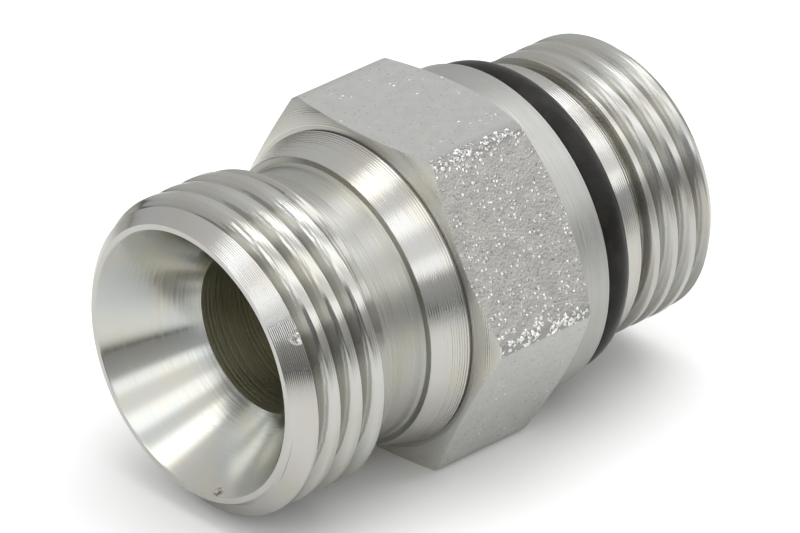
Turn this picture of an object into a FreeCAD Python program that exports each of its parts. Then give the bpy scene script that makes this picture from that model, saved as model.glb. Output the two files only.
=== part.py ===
import FreeCAD, Part
import math
import os

# Straight adapter for a fuel hose: one body turned from hexagon bar, and the O-ring on its stud.
# The hose screws on at one end over a cone seat, and the stud at the other end screws into a port.
# It is drawn standing on its hose end, with the turning axis along Z, and laid on a flat at the end.
# Lengths are in millimetres and angles in degrees. Stations run up the axis from the hose end face.

# Hexagon for the spanner
hex_across_flats = 22.0
hex_across_corners = 25.1
hex_length = 9.05
hex_front_diameter = 21.4
hex_front_angle = 18.0
hex_rear_angle = 30.0

# Hose end: cone seat inside, pipe thread outside
end_rim_width = 0.35
seat_mouth_diameter = 17.7
seat_edge_break = 0.1
seat_half_angle = 31.0
hose_thread_diameter = 20.955
hose_thread_pitch = 1.814
hose_thread_depth = 1.2
hose_thread_flank_angle = 27.5
hose_thread_length = 7.2
hose_thread_start_angle = 150.7
hose_chamfer_length = 1.2

# Neck between the hose thread and the hexagon
runout_length = 1.1
runout_diameter = 18.24
runout_land_length = 1.1
relief_diameter = 18.0
relief_length = 2.1
shoulder_start_diameter = 19.24
shoulder_end_diameter = 20.9
shoulder_length = 2.5
neck_groove_depth = 0.18
neck_groove_width = 0.14

# Collar behind the hexagon, with the face that seals on the port
collar_diameter = 21.9
collar_length = 2.35
collar_chamfer = 0.15

# O-ring and its groove
seal_section = 2.7
seal_section_sides = 12
seal_clearance = 0.05
seal_groove_diameter = 15.7
seal_groove_spare_length = 0.1

# Stud end: land, recess and straight thread
land_diameter = 19.0
land_length = 1.3
land_chamfer = 0.2
recess_slope_length = 0.8
recess_floor_length = 0.2
recess_extra_depth = 0.05
stud_thread_diameter = 19.05
stud_thread_pitch = 1.5875
stud_thread_depth = 0.97
stud_thread_flank_angle = 30.0
stud_thread_length = 4.96
stud_thread_start_angle = 184.5
stud_end_diameter = 17.8
stud_chamfer_length = 0.74

# Passage for the fuel
bore_diameter = 10.7
bore_end_chamfer = 0.3

# How far a cutting tool stands clear of the metal
tool_clearance = 0.3

AXIS = FreeCAD.Vector(0, 0, 1)
ORIGIN = FreeCAD.Vector(0, 0, 0)


def turned(corners):
    """Solid turned about the axis from the (radius, station) corners of its section."""
    points = [FreeCAD.Vector(radius, 0, station) for radius, station in corners]
    return Part.Face(Part.makePolygon(points + points[:1])).revolve(ORIGIN, AXIS, 360)


def thread_cuts(diameter, pitch, depth, flank_angle, start, finish, start_angle):
    """What a pointed tool takes out on its way up the helix, as half turns from start to finish."""
    root_radius = diameter / 2 - depth
    reach = depth + tool_clearance
    half_mouth = reach * math.tan(math.radians(flank_angle))
    tool = Part.makePolygon([
        FreeCAD.Vector(root_radius, 0, 0),
        FreeCAD.Vector(root_radius + reach, 0, half_mouth),
        FreeCAD.Vector(root_radius + reach, 0, -half_mouth),
        FreeCAD.Vector(root_radius, 0, 0),
    ])
    rise = pitch / 2
    path = Part.Wire(Part.makeHelix(pitch, rise, root_radius))
    half_turn = path.makePipeShell([tool], True, True)
    cuts = []
    for step in range(math.ceil((finish - start) / rise)):
        cut = half_turn.copy()
        cut.rotate(ORIGIN, AXIS, start_angle + 180 * step)
        cut.translate(AXIS * (start + rise * step))
        cuts.append(cut)
    return cuts


# Stations from the hose end face to the end of the stud
runout_start = hose_thread_length
runout_end = runout_start + runout_length
relief_start = runout_end + runout_land_length
relief_end = relief_start + relief_length
shoulder_end = relief_end + shoulder_length
hex_start = shoulder_end + neck_groove_width
hex_end = hex_start + hex_length
collar_end = hex_end + collar_length
land_start = collar_end + seal_section + seal_clearance + seal_groove_spare_length
land_end = land_start + land_length
recess_floor = land_end + recess_slope_length
stud_thread_start = recess_floor + recess_floor_length
stud_thread_end = stud_thread_start + stud_thread_length
overall_length = stud_thread_end + stud_chamfer_length

# Radii worked out from the sizes above
seat_radius = seat_mouth_diameter / 2 - seat_edge_break
bore_radius = bore_diameter / 2
corner_radius = hex_across_corners / 2
front_radius = hex_front_diameter / 2
collar_radius = collar_diameter / 2
recess_radius = stud_thread_diameter / 2 - stud_thread_depth - recess_extra_depth
neck_groove_radius = shoulder_end_diameter / 2 - neck_groove_depth
seat_end = seat_edge_break + (seat_radius - bore_radius) / math.tan(math.radians(seat_half_angle))
front_corner = hex_start + (corner_radius - front_radius) * math.tan(math.radians(hex_front_angle))
rear_corner = hex_end - (corner_radius - collar_radius) * math.tan(math.radians(hex_rear_angle))


def turned_blank():
    """Everything that the lathe makes, with the hexagon still round at its corner diameter."""
    hose_end = [
        (seat_radius, seat_edge_break),
        (seat_mouth_diameter / 2, 0),
        (seat_mouth_diameter / 2 + end_rim_width, 0),
        (hose_thread_diameter / 2, hose_chamfer_length),
        (hose_thread_diameter / 2, runout_start),
    ]
    neck = [
        (runout_diameter / 2, runout_end),
        (runout_diameter / 2, relief_start),
        (relief_diameter / 2, relief_start),
        (relief_diameter / 2, relief_end),
        (shoulder_start_diameter / 2, relief_end),
        (shoulder_end_diameter / 2, shoulder_end),
        (neck_groove_radius, shoulder_end),
        (neck_groove_radius, hex_start),
    ]
    hexagon_and_collar = [
        (front_radius, hex_start),
        (corner_radius, front_corner),
        (corner_radius, rear_corner),
        (collar_radius, hex_end),
        (collar_radius, collar_end - collar_chamfer),
        (collar_radius - collar_chamfer, collar_end),
    ]
    stud = [
        (seal_groove_diameter / 2, collar_end),
        (seal_groove_diameter / 2, land_start),
        (land_diameter / 2 - land_chamfer, land_start),
        (land_diameter / 2, land_start + land_chamfer),
        (land_diameter / 2, land_end),
        (recess_radius, recess_floor),
        (recess_radius, stud_thread_start),
        (stud_thread_diameter / 2, stud_thread_start),
        (stud_thread_diameter / 2, stud_thread_end),
        (stud_end_diameter / 2, overall_length),
    ]
    passage = [
        (bore_radius + bore_end_chamfer, overall_length),
        (bore_radius, overall_length - bore_end_chamfer),
        (bore_radius, seat_end),
    ]
    return turned(hose_end + neck + hexagon_and_collar + stud + passage)


def spanner_flats():
    """Ring of metal outside the six flats, taken off between the neck and the collar."""
    flat_corner = hex_across_flats / 2 / math.cos(math.pi / 6)
    corners = []
    for side in range(7):
        angle = side * math.pi / 3
        corners.append(FreeCAD.Vector(flat_corner * math.cos(angle), flat_corner * math.sin(angle), 0))
    hexagon = Part.Face(Part.makePolygon(corners)).extrude(AXIS * hex_length)
    ring = Part.makeCylinder(corner_radius + tool_clearance, hex_length).cut(hexagon)
    ring.translate(AXIS * hex_start)
    return ring


def hose_thread():
    """The pipe thread starts before the end face and runs out in the relief."""
    return thread_cuts(
        hose_thread_diameter, hose_thread_pitch, hose_thread_depth, hose_thread_flank_angle,
        -hose_thread_pitch, relief_start, hose_thread_start_angle)


def stud_thread():
    """The stud's thread starts in its recess and runs out past the end."""
    return thread_cuts(
        stud_thread_diameter, stud_thread_pitch, stud_thread_depth, stud_thread_flank_angle,
        recess_floor - recess_floor_length, overall_length + stud_thread_pitch, stud_thread_start_angle)


def adapter_body():
    """The one-piece body: turned, threaded at both ends and milled to its hexagon."""
    body = turned_blank().cut(spanner_flats())
    for cut in hose_thread() + stud_thread():
        body = body.cut(cut)
    return body


def o_ring():
    """The seal lies by the collar, round the floor of its groove. Straight sides make its round section."""
    section_radius = seal_section / 2
    centre_radius = seal_groove_diameter / 2 + seal_clearance + section_radius
    centre_station = collar_end + seal_clearance + section_radius
    corners = []
    for side in range(seal_section_sides):
        angle = 2 * math.pi * side / seal_section_sides
        radius = centre_radius + section_radius * math.cos(angle)
        corners.append((radius, centre_station + section_radius * math.sin(angle)))
    return turned(corners)


def lay_on_flat(shape):
    """Turn the axis from Z to X, and put the origin under the middle of the part, where it rests."""
    shape.rotate(ORIGIN, FreeCAD.Vector(1, 1, 1), 120)
    shape.translate(FreeCAD.Vector(-overall_length / 2, 0, hex_across_flats / 2))
    return shape


os.makedirs("parts", exist_ok=True)
pieces = {"adapter_body": adapter_body(), "o_ring": o_ring()}
for name, shape in pieces.items():
    laid = lay_on_flat(shape)
    laid.exportStep("parts/" + name + ".step")
    print(name, "solids", len(laid.Solids), "valid", laid.isValid(), "volume", round(laid.Volume, 3))
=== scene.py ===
import bmesh
import bpy
import math
from mathutils import Euler, Matrix, Vector


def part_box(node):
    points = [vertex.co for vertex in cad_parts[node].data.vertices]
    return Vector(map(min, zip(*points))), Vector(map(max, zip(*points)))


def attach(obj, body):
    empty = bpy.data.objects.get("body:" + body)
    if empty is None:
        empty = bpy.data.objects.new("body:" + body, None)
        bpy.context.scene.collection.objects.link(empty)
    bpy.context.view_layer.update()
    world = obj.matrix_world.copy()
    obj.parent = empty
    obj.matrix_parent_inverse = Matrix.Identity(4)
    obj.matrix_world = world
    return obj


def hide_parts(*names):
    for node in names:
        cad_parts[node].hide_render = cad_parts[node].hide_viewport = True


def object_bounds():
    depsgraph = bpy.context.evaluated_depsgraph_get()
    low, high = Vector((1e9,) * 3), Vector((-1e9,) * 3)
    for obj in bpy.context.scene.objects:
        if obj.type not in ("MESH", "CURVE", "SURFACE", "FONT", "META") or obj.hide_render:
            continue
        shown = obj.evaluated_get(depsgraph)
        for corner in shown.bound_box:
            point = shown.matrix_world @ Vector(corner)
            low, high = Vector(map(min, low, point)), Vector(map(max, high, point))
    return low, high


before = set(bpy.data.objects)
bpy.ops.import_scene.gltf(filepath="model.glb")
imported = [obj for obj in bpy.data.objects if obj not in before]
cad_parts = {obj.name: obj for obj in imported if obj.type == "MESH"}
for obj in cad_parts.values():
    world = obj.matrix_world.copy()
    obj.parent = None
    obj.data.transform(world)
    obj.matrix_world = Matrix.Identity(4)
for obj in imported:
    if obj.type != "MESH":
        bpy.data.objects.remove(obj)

cad_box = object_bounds()


# Turned body: one piece of bright zinc-plated steel, turned from hexagon bar on a lathe, from the hose
# thread and cone seat over the neck, hexagon, collar and seal groove to the threaded stud. It is drawn
# in millimetres with the axis along X from the hose end face, and scaled to metres at the end.
millimetre = 0.001

# How fine the mesh is, and how close together points have to be to count as one
steps_round = 300
merge_distance = 0.001
cut_distance = 0.00001
tolerance = 0.01

# The overall sizes are the CAD model's
low, high = cad_box
overall_length = (high[0] - low[0]) / millimetre
hex_across_flats = (high[2] - low[2]) / millimetre
hex_corner_radius = high[1] / millimetre

# Stations along the axis, from the hose end face
hose_chamfer_end = 1.2
hose_crests_end = 7.2
runout_end = 8.3
relief_start = 9.4
shoulder_start = 11.5
shoulder_end = 14.0
hex_start = 14.14
hex_end = 23.19
collar_end = 25.54
land_start = 28.39
land_end = 29.69
recess_start = 30.49
stud_start = 30.69
stud_crests_end = 35.65

# Radii
bore_radius = 5.35
bore_chamfer = 0.3
seat_mouth_radius = 8.85
seat_edge_break = 0.1
seat_half_angle = 31
hose_rim_radius = 9.2
hose_crest_radius = 10.4775
runout_radius = 9.12
relief_radius = 9.0
shoulder_start_radius = 9.62
shoulder_end_radius = 10.45
neck_groove_radius = 10.27
hex_front_radius = 10.7
hex_front_angle = 18
hex_rear_angle = 30
collar_radius = 10.95
seal_groove_radius = 7.85
land_radius = 9.5
recess_radius = 8.505
stud_crest_radius = 9.525
stud_rim_radius = 8.9

# Where the sloping surfaces meet their neighbours
seat_radius = seat_mouth_radius - seat_edge_break
seat_end = seat_edge_break + (seat_radius - bore_radius) / math.tan(math.radians(seat_half_angle))
front_corner = hex_start + (hex_corner_radius - hex_front_radius) * math.tan(math.radians(hex_front_angle))
rear_corner = hex_end - (hex_corner_radius - collar_radius) * math.tan(math.radians(hex_rear_angle))
axis_height = hex_across_flats / 2

body_mesh = bmesh.new()


def draw_profile(bm, corners):
    """A chain of edges through (station, radius, rounding) corners, the rounded ones bevelled."""
    chain = [bm.verts.new((station, radius, 0)) for station, radius, rounding in corners]
    for pair in zip(chain, chain[1:]):
        bm.edges.new(pair)
    for vert, (station, radius, rounding) in zip(chain, corners):
        if rounding > 0:
            bmesh.ops.bevel(
                bm, geom=[vert], offset=rounding, offset_type='OFFSET', affect='VERTICES',
                segments=3, profile=0.5, material=-1, clamp_overlap=True)
    return bm.verts[:] + bm.edges[:]


def turn(corners):
    """Spins a profile of corners all the way round the axis."""
    bm = bmesh.new()
    profile = draw_profile(bm, corners)
    bmesh.ops.spin(
        bm, geom=profile, cent=(0, 0, 0), axis=(1, 0, 0),
        angle=2 * math.pi, steps=steps_round, use_merge=True)
    return bm


def add_to_body(bm):
    """Puts a finished stretch of the surface into the body's mesh."""
    stretch = bpy.data.meshes.new("stretch")
    bm.to_mesh(stretch)
    bm.free()
    body_mesh.from_mesh(stretch)
    bpy.data.meshes.remove(stretch)


def cut_thread(pitch, crest_radius, depth, flank_angle, root_rounding, crest_rounding,
               groove_station, start, end, edge_stations, limit):
    """One pitch of thread profile wound up the helix, then held inside the turned shape by limit."""
    half_mouth = depth * math.tan(math.radians(flank_angle))
    first = groove_station + pitch * math.floor((start - pitch - groove_station) / pitch)
    bm = bmesh.new()
    profile = draw_profile(bm, [
        (first - pitch / 2, crest_radius, 0),
        (first - half_mouth, crest_radius, crest_rounding),
        (first, crest_radius - depth, root_rounding),
        (first + half_mouth, crest_radius, crest_rounding),
        (first + pitch / 2, crest_radius, 0),
    ])
    bmesh.ops.spin(
        bm, geom=profile, cent=(0, 0, 0), axis=(1, 0, 0), dvec=(pitch / steps_round, 0, 0),
        angle=2 * math.pi, steps=steps_round)
    turn_of_thread = bm.verts[:] + bm.edges[:] + bm.faces[:]
    for number in range(1, math.ceil((end - first) / pitch) + 1):
        copied = bmesh.ops.duplicate(bm, geom=turn_of_thread)["geom"]
        verts = [item for item in copied if isinstance(item, bmesh.types.BMVert)]
        bmesh.ops.translate(bm, vec=(pitch * number, 0, 0), verts=verts)
    bmesh.ops.remove_doubles(bm, verts=bm.verts[:], dist=merge_distance)
    for station in edge_stations:
        bmesh.ops.bisect_plane(
            bm, geom=bm.verts[:] + bm.edges[:] + bm.faces[:], dist=cut_distance,
            plane_co=(station, 0, 0), plane_no=(1, 0, 0))
    for vert in bm.verts:
        station = min(max(vert.co.x, start), end)
        radius = math.hypot(vert.co.y, vert.co.z)
        lowest, highest = limit(station)
        share = min(max(radius, lowest), highest) / radius
        vert.co = (station, vert.co.y * share, vert.co.z * share)
    bmesh.ops.remove_doubles(bm, verts=bm.verts[:], dist=merge_distance)
    return bm


def between(station, points):
    """The radius at a station on a line through (station, radius) points."""
    for (x0, r0), (x1, r1) in zip(points, points[1:]):
        if station <= x1:
            return r0 + (r1 - r0) * max(station - x0, 0) / (x1 - x0)
    return points[-1][1]


# Passage, from the rim of the hose end through the cone seat and the bore to the rim of the stud
add_to_body(turn([
    (0, hose_rim_radius, 0),
    (0, seat_mouth_radius, 0),
    (seat_edge_break, seat_radius, 0),
    (seat_end, bore_radius, 0.05),
    (overall_length - bore_chamfer, bore_radius, 0.05),
    (overall_length, bore_radius + bore_chamfer, 0),
    (overall_length, stud_rim_radius, 0),
]))

# Hose thread: it starts in the entry chamfer and runs out towards the neck. At both ends of the part the
# grooves close up to the rim, by groove_closing millimetres in each millimetre of the way.
groove_closing = 2


def hose_end_limit(station):
    """The lowest and highest radius that the hose thread may have at a station."""
    outside = between(station, [
        (0, hose_rim_radius), (hose_chamfer_end, hose_crest_radius),
        (hose_crests_end, hose_crest_radius), (runout_end, runout_radius),
    ])
    return hose_rim_radius - groove_closing * station, outside


add_to_body(cut_thread(
    pitch=1.814, crest_radius=hose_crest_radius, depth=1.2, flank_angle=27.5, root_rounding=0.2,
    crest_rounding=0.07, groove_station=2.8685, start=0, end=runout_end,
    edge_stations=[hose_chamfer_end, hose_crests_end], limit=hose_end_limit))

# Neck: run-out land, relief, shoulder cone and the fine groove before the hexagon
add_to_body(turn([
    (runout_end, runout_radius, 0),
    (relief_start, runout_radius, 0.03),
    (relief_start, relief_radius, 0),
    (shoulder_start, relief_radius, 0.45),
    (shoulder_start, shoulder_start_radius, 0.08),
    (shoulder_end, shoulder_end_radius, 0.04),
    (shoulder_end, neck_groove_radius, 0),
    (hex_start, neck_groove_radius, 0),
    (hex_start, hex_front_radius, 0),
]))

# Hexagon: turned to its corner diameter and both chamfers, then cut to six flats, one of them below
hexagon = turn([
    (hex_start, hex_front_radius, 0),
    (front_corner, hex_corner_radius, 0),
    (rear_corner, hex_corner_radius, 0),
    (hex_end, collar_radius, 0),
])
for flat_angle in range(30, 360, 60):
    angle = math.radians(flat_angle)
    normal = Vector((0, math.cos(angle), math.sin(angle)))
    cut = bmesh.ops.bisect_plane(
        hexagon, geom=hexagon.verts[:] + hexagon.edges[:] + hexagon.faces[:], dist=cut_distance,
        plane_co=normal * hex_across_flats / 2, plane_no=normal, clear_outer=True)
    rim = [edge for edge in cut["geom_cut"] if isinstance(edge, bmesh.types.BMEdge)]
    bmesh.ops.contextual_create(hexagon, geom=rim)
add_to_body(hexagon)

# Collar, seal groove, land and the slope down into the recess before the stud's thread
add_to_body(turn([
    (hex_end, collar_radius, 0),
    (collar_end, collar_radius, 0.13),
    (collar_end, seal_groove_radius, 0.15),
    (land_start, seal_groove_radius, 0.15),
    (land_start, land_radius, 0.15),
    (land_end, land_radius, 0.04),
    (recess_start, recess_radius, 0),
    (stud_start, recess_radius, 0),
]))


# Stud thread: it starts in the recess and runs out in the chamfer at the end of the part
def stud_limit(station):
    """The lowest and highest radius that the stud's thread may have at a station."""
    if station < stud_start + tolerance / 2:
        return recess_radius, recess_radius
    outside = between(station, [
        (stud_start, stud_crest_radius), (stud_crests_end, stud_crest_radius),
        (overall_length, stud_rim_radius),
    ])
    return stud_rim_radius - groove_closing * (overall_length - station), outside


add_to_body(cut_thread(
    pitch=1.5875, crest_radius=stud_crest_radius, depth=0.97, flank_angle=30, root_rounding=0.17,
    crest_rounding=0.05, groove_station=31.064, start=stud_start, end=overall_length,
    edge_stations=[stud_start + tolerance, stud_crests_end], limit=stud_limit))

bmesh.ops.remove_doubles(body_mesh, verts=body_mesh.verts[:], dist=merge_distance)
bmesh.ops.recalc_face_normals(body_mesh, faces=body_mesh.faces[:])


# Finishes of the body: their nodes work in millimetres, so that feeds and heights are real ones
def new_material(name, base_color, metallic, roughness):
    """A material, its node tree and its shader, whose base colour the caller may vary."""
    material = bpy.data.materials.new(name)
    material.use_nodes = True
    tree = material.node_tree
    shader = tree.nodes["Principled BSDF"]
    shader.inputs["Base Color"].default_value = (*base_color, 1)
    shader.inputs["Metallic"].default_value = metallic
    shader.inputs["Roughness"].default_value = roughness
    return material, tree, shader


def place_on_part(tree):
    """The place on the part in millimetres from the middle of its axis, whole and taken apart."""
    coordinates = tree.nodes.new("ShaderNodeTexCoord")
    mapping = tree.nodes.new("ShaderNodeMapping")
    mapping.inputs["Location"].default_value = (0, 0, -axis_height)
    mapping.inputs["Scale"].default_value = (1 / millimetre, 1 / millimetre, 1 / millimetre)
    tree.links.new(coordinates.outputs["Object"], mapping.inputs["Vector"])
    parts = tree.nodes.new("ShaderNodeSeparateXYZ")
    tree.links.new(mapping.outputs["Vector"], parts.inputs["Vector"])
    return mapping.outputs["Vector"], parts


def radius_on_part(tree, parts):
    """How far a point lies from the turning axis, in millimetres."""
    across = tree.nodes.new("ShaderNodeCombineXYZ")
    tree.links.new(parts.outputs["Y"], across.inputs["Y"])
    tree.links.new(parts.outputs["Z"], across.inputs["Z"])
    from_axis = tree.nodes.new("ShaderNodeVectorMath")
    from_axis.operation = 'LENGTH'
    tree.links.new(across.outputs["Vector"], from_axis.inputs[0])
    return from_axis.outputs["Value"]


def noise(tree, place, scale, detail, dimensions='3D'):
    """Cloudy noise over the part, or along one number."""
    texture = tree.nodes.new("ShaderNodeTexNoise")
    texture.noise_dimensions = dimensions
    texture.inputs["Scale"].default_value = scale
    texture.inputs["Detail"].default_value = detail
    tree.links.new(place, texture.inputs["W" if dimensions == '1D' else "Vector"])
    return texture.outputs["Fac"]


def spread(tree, value, low, high, out_low=0, out_high=1):
    """Stretches a value from one range to another and stops at its ends."""
    node = tree.nodes.new("ShaderNodeMapRange")
    for socket, number in zip(("From Min", "From Max", "To Min", "To Max"), (low, high, out_low, out_high)):
        node.inputs[socket].default_value = number
    tree.links.new(value, node.inputs["Value"])
    return node.outputs["Result"]


def combine(tree, operation, first, second):
    """Two node values added, multiplied or otherwise made one."""
    node = tree.nodes.new("ShaderNodeMath")
    node.operation = operation
    tree.links.new(first, node.inputs[0])
    tree.links.new(second, node.inputs[1])
    return node.outputs["Value"]


def blend(tree, share, first, second):
    """A colour between two, each of them a plain colour or another node's."""
    node = tree.nodes.new("ShaderNodeMix")
    node.data_type = 'RGBA'
    tree.links.new(share, node.inputs["Factor"])
    for socket, color in ((node.inputs["A"], first), (node.inputs["B"], second)):
        if isinstance(color, bpy.types.NodeSocket):
            tree.links.new(color, socket)
        else:
            socket.default_value = (*color, 1)
    return node.outputs["Result"]


def raise_surface(tree, shader, height, distance, under=None):
    """Bumps the surface by a height of so many millimetres, on top of an earlier bump if there is one."""
    bump = tree.nodes.new("ShaderNodeBump")
    bump.inputs["Strength"].default_value = 1
    bump.inputs["Distance"].default_value = distance * millimetre
    tree.links.new(height, bump.inputs["Height"])
    if under is not None:
        tree.links.new(under, bump.inputs["Normal"])
    tree.links.new(bump.outputs["Normal"], shader.inputs["Normal"])
    return bump.outputs["Normal"]


def near_point(tree, place, point, reach):
    """A ragged patch round one point, full at its middle and gone at its reach."""
    gap = tree.nodes.new("ShaderNodeVectorMath")
    gap.operation = 'DISTANCE'
    gap.inputs[1].default_value = point
    tree.links.new(place, gap.inputs[0])
    patch = spread(tree, gap.outputs["Value"], reach * 0.3, reach, 1, 0)
    ragged = spread(tree, noise(tree, place, scale=4, detail=3), 0.46, 0.54)
    return combine(tree, 'MULTIPLY', patch, ragged)


def tool_rings(tree, shader, place, parts, feed, line_height, under):
    """The rings that the tool leaves, one for each feed, and broader waves of no fixed width."""
    rings = tree.nodes.new("ShaderNodeTexWave")
    rings.bands_direction = 'X'
    # At a scale of 1 the bands of this texture lie a tenth of pi apart
    rings.inputs["Scale"].default_value = math.pi / 10 / feed
    rings.inputs["Distortion"].default_value = 0.8
    rings.inputs["Detail"].default_value = 1
    tree.links.new(place, rings.inputs["Vector"])
    ridges = raise_surface(tree, shader, rings.outputs["Fac"], line_height, under)
    waves = noise(tree, parts.outputs["X"], scale=3.2, detail=4, dimensions='1D')
    raise_surface(tree, shader, waves, line_height * 1.5, ridges)


def draw_out_gloss(tree, shader, anisotropy):
    """Draws reflections out across the rings, as they are on a fine turned surface."""
    shader.inputs["Anisotropic"].default_value = anisotropy
    shader.inputs["Anisotropic Rotation"].default_value = 0.25
    tangent = tree.nodes.new("ShaderNodeTangent")
    tangent.direction_type = 'RADIAL'
    tangent.axis = 'X'
    tree.links.new(tangent.outputs["Tangent"], shader.inputs["Tangent"])


def turned_finish(
        name, base_color, warm_color, roughness, feed, line_height, anisotropy, groove=None, mark=None):
    """Bright zinc over turned steel: warmer clouds, painted shade in thread grooves, one mark and the tool's
    rings.
    """
    material, tree, shader = new_material(name, base_color, 1, roughness)
    place, parts = place_on_part(tree)
    clouds = spread(tree, noise(tree, place, scale=0.3, detail=2), 0.38, 0.66)
    color = blend(tree, clouds, base_color, warm_color)
    if groove is not None:
        # Painted shade: the colour darkens from the crests down into the thread's grooves
        shade_full_radius, shade_free_radius, dark_color = groove
        bright = spread(tree, radius_on_part(tree, parts), shade_full_radius, shade_free_radius)
        color = blend(tree, bright, dark_color, color)
    dent = None
    if mark is not None:
        patch = near_point(tree, place, mark["point"], mark["reach"])
        color = blend(tree, patch, color, mark["color"])
        dent = raise_surface(tree, shader, patch, mark["height"])
    tree.links.new(color, shader.inputs["Base Color"])
    streaks = noise(tree, parts.outputs["X"], scale=6, detail=3, dimensions='1D')
    streaked = spread(tree, streaks, 0.3, 0.7, roughness * 0.75, roughness * 1.25)
    tree.links.new(streaked, shader.inputs["Roughness"])
    tool_rings(tree, shader, place, parts, feed, line_height, dent)
    draw_out_gloss(tree, shader, anisotropy)
    return material


def zinc_beads(tree, place, radius, beads_from, corner_beads):
    """Ragged beads of zinc, in loose clusters and crowded along the hexagon's corners."""
    beads_per_millimetre = 3.1
    corner_band = (hex_corner_radius - 0.45, hex_corner_radius - 0.05)
    beads = tree.nodes.new("ShaderNodeTexVoronoi")
    beads.inputs["Scale"].default_value = beads_per_millimetre
    tree.links.new(place, beads.inputs["Vector"])
    ragged = spread(tree, noise(tree, place, scale=6, detail=2), 0.38, 0.56)
    near_corner = spread(tree, radius, *corner_band, 0, corner_beads)
    apart = combine(tree, 'SUBTRACT', beads.outputs["Distance"], near_corner)
    domes = combine(tree, 'MULTIPLY', spread(tree, apart, 0.06, 0.42, 1, 0), ragged)
    chance = tree.nodes.new("ShaderNodeSeparateColor")
    tree.links.new(beads.outputs["Color"], chance.inputs["Color"])
    clusters = spread(tree, noise(tree, place, scale=0.6, detail=2), 0.35, 0.65, -0.25, 0.25)
    likely = combine(tree, 'ADD', chance.outputs["Red"], near_corner)
    likely = combine(tree, 'ADD', likely, clusters)
    return combine(tree, 'MULTIPLY', domes, spread(tree, likely, beads_from, beads_from + 0.06))


def drawn_finish(
        name, base_color, dark_color, roughness, grain_height, beads_from, corner_beads, corner_shade):
    """Bright zinc over the drawn flats of the bar: faint grain, dark pits, painted shade along the corners,
    and beads with painted glints.
    """
    pit_color = [0.6 * channel for channel in dark_color]
    corner_shade_color = (0.3, 0.295, 0.28)
    corner_shade_band = (hex_corner_radius - 0.25, hex_corner_radius - 0.05)
    painted_glint_color = (1, 1, 1)
    bead_height = 0.12
    material, tree, shader = new_material(name, base_color, 1, roughness)
    place, parts = place_on_part(tree)
    radius = radius_on_part(tree, parts)
    clouds = spread(tree, noise(tree, place, scale=1.2, detail=4), 0.36, 0.64)
    color = blend(tree, clouds, dark_color, base_color)
    grain = noise(tree, place, scale=5, detail=3)
    color = blend(tree, spread(tree, grain, 0.3, 0.38), pit_color, color)
    # Painted shade: a darker band along the hexagon's corners, which dulls their reflection
    color = blend(tree, spread(tree, radius, *corner_shade_band, 0, corner_shade), color, corner_shade_color)
    standing = zinc_beads(tree, place, radius, beads_from, corner_beads)
    # Painted highlight: the standing beads turn white, as glints
    color = blend(tree, spread(tree, standing, 0.15, 0.4), color, painted_glint_color)
    tree.links.new(color, shader.inputs["Base Color"])
    fine = raise_surface(tree, shader, grain, grain_height)
    raise_surface(tree, shader, standing, bead_height, fine)
    return material


# The finishes, with feeds, heights and radii in millimetres, and the two single marks on the hose end
seat_stain = {"point": (-17.92, -2.1, -8.38), "reach": 0.5, "color": (0.2, 0.15, 0.11), "height": 0.02}
# The nick's dent is a real bump, and its white colour is a painted highlight
nick_with_painted_highlight = {"point": (-17.15, -8.94, 5.16), "reach": 0.55, "color": (0.9, 0.9, 0.9), "height": 0.3}
finishes = [
    turned_finish(
        "turned_zinc", (0.6, 0.6, 0.58), (0.58, 0.57, 0.53), roughness=0.3,
        feed=0.25, line_height=0.008, anisotropy=0.5),
    drawn_finish(
        "drawn_flat", (0.66, 0.66, 0.64), (0.62, 0.62, 0.6), roughness=0.38,
        grain_height=0.006, beads_from=1.02, corner_beads=0, corner_shade=0.15),
    drawn_finish(
        "rough_flat", (0.5, 0.485, 0.455), (0.42, 0.41, 0.39), roughness=0.3,
        grain_height=0.02, beads_from=0.4, corner_beads=0.3, corner_shade=0.8),
    turned_finish(
        "oily_bore", (0.52, 0.5, 0.38), (0.4, 0.39, 0.29), roughness=0.42,
        feed=0.3, line_height=0.005, anisotropy=0.4),
    turned_finish(
        "cone_seat", (0.58, 0.6, 0.585), (0.62, 0.6, 0.53), roughness=0.17,
        feed=0.3, line_height=0.0006, anisotropy=0.7, mark=seat_stain),
    turned_finish(
        "bright_turned", (0.58, 0.58, 0.565), (0.58, 0.56, 0.51), roughness=0.15,
        feed=0.16, line_height=0.017, anisotropy=0.6),
    turned_finish(
        "hose_chamfer", (0.57, 0.57, 0.555), (0.57, 0.55, 0.5), roughness=0.15,
        feed=0.085, line_height=0.0065, anisotropy=0.6, mark=nick_with_painted_highlight),
    # The hexagon's chamfer has a paler base colour: painted light, against the shaded floor that it mirrors
    turned_finish(
        "hex_chamfer", (0.74, 0.74, 0.71), (0.72, 0.7, 0.63), roughness=0.3,
        feed=0.045, line_height=0.003, anisotropy=0.4),
    turned_finish(
        "satin_collar", (0.5, 0.5, 0.485), (0.47, 0.465, 0.44), roughness=0.45,
        feed=0.25, line_height=0.001, anisotropy=0.3),
    turned_finish(
        "neck_steel", (0.46, 0.46, 0.435), (0.45, 0.44, 0.385), roughness=0.34,
        feed=0.2, line_height=0.004, anisotropy=0.3),
    # The threads carry painted shade in their grooves: the radius of full shade, the radius where it ends,
    # its colour
    turned_finish(
        "hose_thread", (0.6, 0.6, 0.58), (0.56, 0.55, 0.5), roughness=0.14,
        feed=0.18, line_height=0.008, anisotropy=0.35, groove=(9.5, 10.35, (0.41, 0.405, 0.37))),
    turned_finish(
        "stud_thread", (0.56, 0.56, 0.54), (0.54, 0.52, 0.47), roughness=0.24,
        feed=0.18, line_height=0.008, anisotropy=0.4, groove=(8.7, 9.45, (0.46, 0.455, 0.42))),
]
# The rough flat faces the camera, and its finish reaches just past its two corners
rough_flat_angle = 150
rough_flat_reach = 32
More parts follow.
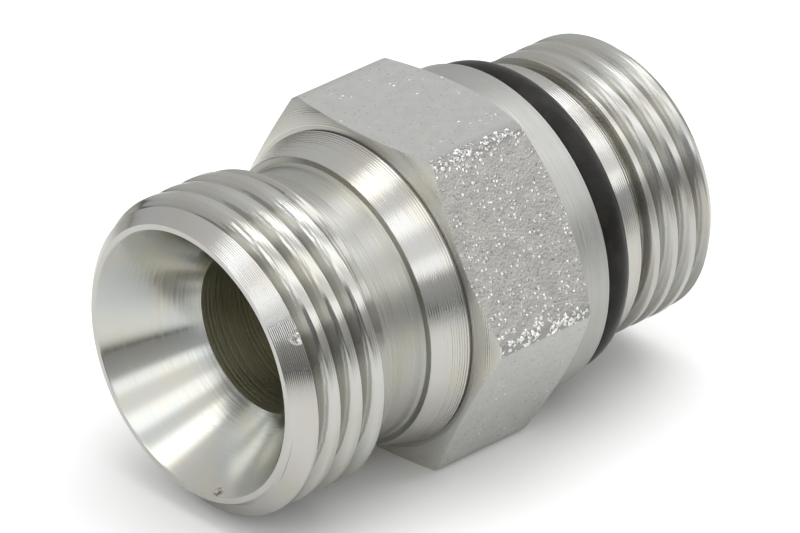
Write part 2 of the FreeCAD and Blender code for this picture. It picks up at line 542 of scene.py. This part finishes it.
# Only the outline of a flat has more corners than this
most_corners = 20
# From this station on the hose thread's grooves cut into the chamfer
grooves_from = 0.9
# A face this close below a turned surface still belongs to it
skin_depth = 0.1


def finish_of(face):
    """Which tool or rolled skin left this face, by where it lies on the part."""
    centre = face.calc_center_median()
    station = centre.x
    radius = math.hypot(centre.y, centre.z)
    side = math.degrees(math.atan2(centre.z, centre.y)) % 360
    is_flat = len(face.verts) > most_corners
    if radius < bore_radius + tolerance:
        return "oily_bore"
    if radius < seat_mouth_radius and station < seat_end + tolerance:
        return "cone_seat"
    if station < grooves_from:
        return "hose_chamfer"
    if station < hose_chamfer_end and radius > hose_end_limit(station)[1] - skin_depth:
        return "hose_chamfer"
    if station < runout_end:
        return "hose_thread"
    if station < shoulder_start + tolerance:
        return "neck_steel"
    if station < shoulder_end + tolerance:
        return "bright_turned"
    if is_flat or radius > hex_corner_radius - skin_depth:
        return "rough_flat" if abs(side - rough_flat_angle) < rough_flat_reach else "drawn_flat"
    if station < collar_end - tolerance and radius > hex_front_radius - skin_depth:
        return "hex_chamfer" if station < rear_corner else "satin_collar"
    if land_start + tolerance < station < stud_start:
        return "bright_turned"
    if station > stud_start and radius > recess_radius - tolerance:
        return "stud_thread"
    return "turned_zinc"


finish_names = [finish.name for finish in finishes]
for face in body_mesh.faces:
    face.material_index = finish_names.index(finish_of(face))


def new_object(name, bm):
    """Turns a finished mesh into an object of the scene."""
    surface = bpy.data.meshes.new(name)
    bm.to_mesh(surface)
    bm.free()
    made = bpy.data.objects.new(name, surface)
    bpy.context.collection.objects.link(made)
    return made


def smooth_piece(name, bm):
    """Brings a piece from millimetres and its own axis into the shared frame, shaded smooth."""
    bmesh.ops.scale(bm, vec=(millimetre, millimetre, millimetre), verts=bm.verts[:])
    middle = Vector((-overall_length / 2, 0, axis_height))
    bmesh.ops.translate(bm, vec=middle * millimetre, verts=bm.verts[:])
    piece = new_object(name, bm)
    piece.data.shade_smooth()
    return piece


# Edges sharper than this many degrees stay crisp
crisp_edge_angle = 22

turned_body = smooth_piece("turned_body", body_mesh)
turned_body.data.set_sharp_from_angle(angle=math.radians(crisp_edge_angle))
for finish in finishes:
    turned_body.data.materials.append(finish)
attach(turned_body, "root")
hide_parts("adapter_body")


# O-ring: a black rubber ring of round section, moulded in one piece. It is pushed over the stud into
# its groove against the collar, and seals on the port when the stud is screwed home.
ring_low, ring_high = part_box("o_ring")
seal_section_radius = (ring_high[0] - ring_low[0]) / 2 / millimetre
seal_radius = ring_high[1] / millimetre - seal_section_radius
seal_station = (ring_low[0] + ring_high[0]) / 2 / millimetre + overall_length / 2
section_steps = 40
rubber_color = (0.01, 0.0095, 0.0085)
dust_color = (0.02, 0.018, 0.014)

ring_mesh = bmesh.new()
bmesh.ops.create_circle(ring_mesh, segments=section_steps, radius=seal_section_radius)
bmesh.ops.translate(ring_mesh, vec=(seal_station, seal_radius, 0), verts=ring_mesh.verts[:])
bmesh.ops.spin(
    ring_mesh, geom=ring_mesh.verts[:] + ring_mesh.edges[:], cent=(0, 0, 0), axis=(1, 0, 0),
    angle=2 * math.pi, steps=steps_round, use_merge=True)
bmesh.ops.recalc_face_normals(ring_mesh, faces=ring_mesh.faces[:])
seal_ring = smooth_piece("seal_ring", ring_mesh)

black_rubber, tree, shader = new_material("black_rubber", rubber_color, 0, 0.3)
shader.inputs["Specular IOR Level"].default_value = 0.22
place, parts = place_on_part(tree)
dust = spread(tree, noise(tree, place, scale=0.9, detail=3), 0.45, 0.7)
tree.links.new(blend(tree, dust, rubber_color, dust_color), shader.inputs["Base Color"])
raise_surface(tree, shader, noise(tree, place, scale=4, detail=2), 0.012)
seal_ring.data.materials.append(black_rubber)
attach(seal_ring, "root")
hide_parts("o_ring")


# Floor: a pale board that the part lies on, which isn't part of the object. In the part's reflections it has
# painted shade, more of it far off and on the hose side, as a table has that is only lit round the part.
board_color = (0.95, 0.95, 0.95)
mirrored_shade_color = (0.78, 0.78, 0.77)
far_shade_color = (0.42, 0.42, 0.4)
far_hose_side_shade_color = (0.1, 0.1, 0.1)
near_to_far = (45, 110)
dark_to_lit_side = (-120, -40)
# How far the board reaches on each side, in metres
board_reach = 3

floor_mesh = bmesh.new()
bmesh.ops.create_grid(floor_mesh, x_segments=1, y_segments=1, size=board_reach)
floor = new_object("floor", floor_mesh)

pale_board, tree, shader = new_material("pale_board", board_color, 0, 0.8)
shader.inputs["Specular IOR Level"].default_value = 0
place, parts = place_on_part(tree)
distance = tree.nodes.new("ShaderNodeVectorMath")
distance.operation = 'LENGTH'
tree.links.new(place, distance.inputs[0])
path = tree.nodes.new("ShaderNodeLightPath")
mirrored = path.outputs["Is Glossy Ray"]
far_share = combine(tree, 'MULTIPLY', spread(tree, distance.outputs["Value"], *near_to_far), mirrored)
near_board = blend(tree, mirrored, board_color, mirrored_shade_color)
lit_side = spread(tree, parts.outputs["X"], *dark_to_lit_side)
far_board = blend(tree, lit_side, far_hose_side_shade_color, far_shade_color)
tree.links.new(blend(tree, far_share, near_board, far_board), shader.inputs["Base Color"])
floor.data.materials.append(pale_board)


# Light tent: a long white cloth over the part with three strips of light along it, which the bright
# metal mirrors. It isn't part of the object, and only reflections see it.
# The tent's own sizes are in metres, and its foot is as high as the part's axis
tent_radius = 1
tent_half_length = 9
tent_foot = axis_height * millimetre
tent_steps = 90
tent_brightness = 2
dark_end_color = (0.12, 0.12, 0.125)
# The cloth's dark end, from so many millimetres along the part and so many radians round it
dark_beyond = (-1550, -1250)
dark_below = (2.45, 2.52)
# How bright the cloth is at so many degrees round the part, from one side over the top to the other
strips = [
    (0, 0.5), (10, 0.6), (55, 0.72), (68, 0.85), (74, 2.0), (88, 2.0), (95, 0.95), (105, 0.95),
    (111, 1.7), (122, 1.7), (129, 1.05), (142, 1.05), (147, 1.5), (154, 1.5), (160, 0.5), (180, 0.32),
]

tent_mesh = bmesh.new()
ends = [tent_mesh.verts.new((x, tent_radius, tent_foot)) for x in (-tent_half_length, tent_half_length)]
tent_edge = tent_mesh.edges.new(ends)
bmesh.ops.spin(
    tent_mesh, geom=ends + [tent_edge], cent=(0, 0, tent_foot), axis=(1, 0, 0),
    angle=math.pi, steps=tent_steps)
light_tent = new_object("light_tent", tent_mesh)

tent_cloth = bpy.data.materials.new("tent_cloth")
tent_cloth.use_nodes = True
tree = tent_cloth.node_tree
tree.nodes.remove(tree.nodes["Principled BSDF"])
place, parts = place_on_part(tree)
round_part = combine(tree, 'ARCTAN2', parts.outputs["Z"], parts.outputs["Y"])
ramp = tree.nodes.new("ShaderNodeValToRGB")
tree.links.new(spread(tree, round_part, 0, math.pi), ramp.inputs["Fac"])
while len(ramp.color_ramp.elements) < len(strips):
    ramp.color_ramp.elements.new(0.5)
for element, (degrees, brightness) in zip(ramp.color_ramp.elements, strips):
    level = brightness / tent_brightness
    element.position = degrees / 180
    element.color = (level, level, level, 1)
far_along = spread(tree, parts.outputs["X"], *dark_beyond, 1, 0)
dark_end = combine(tree, 'MULTIPLY', far_along, spread(tree, round_part, *dark_below))
glow = tree.nodes.new("ShaderNodeEmission")
glow.inputs["Strength"].default_value = tent_brightness
tree.links.new(blend(tree, dark_end, ramp.outputs["Color"], dark_end_color), glow.inputs["Color"])
tree.links.new(glow.outputs["Emission"], tree.nodes["Material Output"].inputs["Surface"])
light_tent.data.materials.append(tent_cloth)
light_tent.visible_camera = False
light_tent.visible_diffuse = False
light_tent.visible_transmission = False
light_tent.visible_shadow = False


# Lamps and room: one large soft lamp overhead, a small one at the left whose light the hose end
# mirrors, and a white room.
def soft_lamp(name, place, width, power):
    """A square soft lamp, in metres and watts, that shines from its place on the part."""
    lamp = bpy.data.lights.new(name, 'AREA')
    lamp.shape = 'SQUARE'
    lamp.size = width
    lamp.energy = power
    lamp_object = bpy.data.objects.new(name, lamp)
    lamp_object.location = place
    lamp_object.rotation_euler = (-Vector(place)).to_track_quat('-Z', 'Y').to_euler()
    bpy.context.collection.objects.link(lamp_object)
    return lamp_object


overhead = soft_lamp("overhead", (0.1, -0.05, 0.6), width=0.6, power=2.0)
overhead.visible_glossy = False
soft_lamp("left", (-0.435, 0.17, 0.17), width=0.1, power=0.055)

room_light = 0.95
white_room = bpy.data.worlds.new("white_room")
white_room.use_nodes = True
bpy.context.scene.world = white_room
tree = white_room.node_tree
background = tree.nodes["Background"]
background.inputs["Color"].default_value = (1, 1, 1, 1)
path = tree.nodes.new("ShaderNodeLightPath")
seen = combine(tree, 'MAXIMUM', path.outputs["Is Camera Ray"], path.outputs["Is Glossy Ray"])
seen = combine(tree, 'MAXIMUM', seen, path.outputs["Is Transmission Ray"])
tree.links.new(spread(tree, seen, 0, 1, room_light, 1), background.inputs["Strength"])


# Camera: a long lens a little over half a metre from the part, at the angle from which the part was
# photographed. Its place is in millimetres, and its turns from looking straight down are in degrees.
camera_place = Vector((-333.371, -367.884, 284.148))
camera_tilt = 61.16994
camera_roll = 0.90892
camera_heading = -42.64237

camera_data = bpy.data.cameras.new("camera")
camera_data.lens = 405
camera_data.sensor_width = 36
camera_data.clip_end = 10
camera = bpy.data.objects.new("camera", camera_data)
turns = Euler([math.radians(degrees) for degrees in (camera_tilt, camera_roll, camera_heading)])
camera.matrix_world = Matrix.LocRotScale(camera_place * millimetre, turns, None)
bpy.context.collection.objects.link(camera)
bpy.context.scene.camera = camera
bpy.context.scene.view_settings.view_transform = 'Standard'
